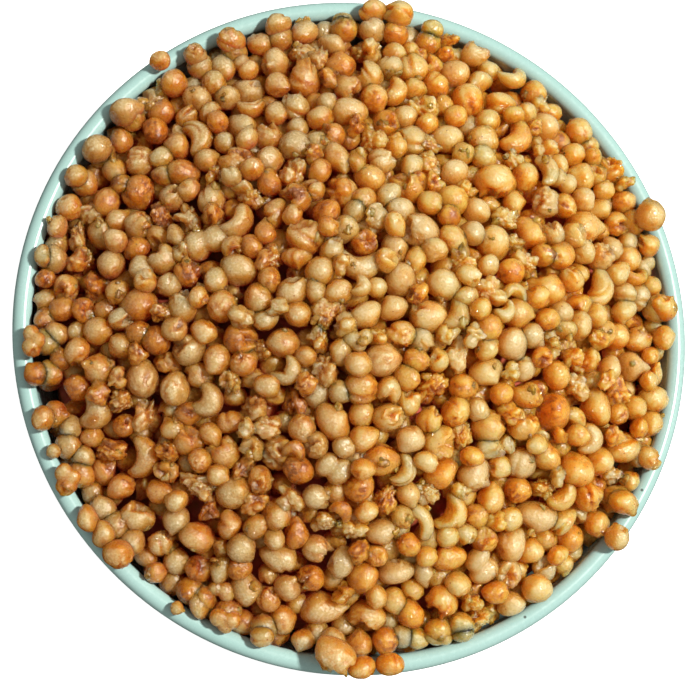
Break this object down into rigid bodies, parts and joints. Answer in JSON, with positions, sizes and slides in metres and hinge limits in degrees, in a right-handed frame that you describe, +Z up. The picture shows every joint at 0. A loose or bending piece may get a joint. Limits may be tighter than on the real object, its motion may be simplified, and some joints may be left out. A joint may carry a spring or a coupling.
{
  "type": "bowl of fried puffed grain pearls",
  "caption": "Round glazed bowl with a rolled rim, heaped above its rim with small fried puffed grain pearls; it stands on a foot ring.",
  "frame": {"origin": "middle of the foot ring's underside, on the surface that the bowl stands on", "axes": "+Z up along the bowl's axis of turning; -Y towards the lower edge of the picture"},
  "size_m": [0.16, 0.16, 0.0838],
  "materials": {
    "glaze": "glossy pale aqua glaze",
    "puffed_grain": "waxy, fried golden brown"
  },
  "bodies": {
    "root": {"bowl": "glaze", "snack_heap": "puffed_grain"}
  },
  "joints": []
}
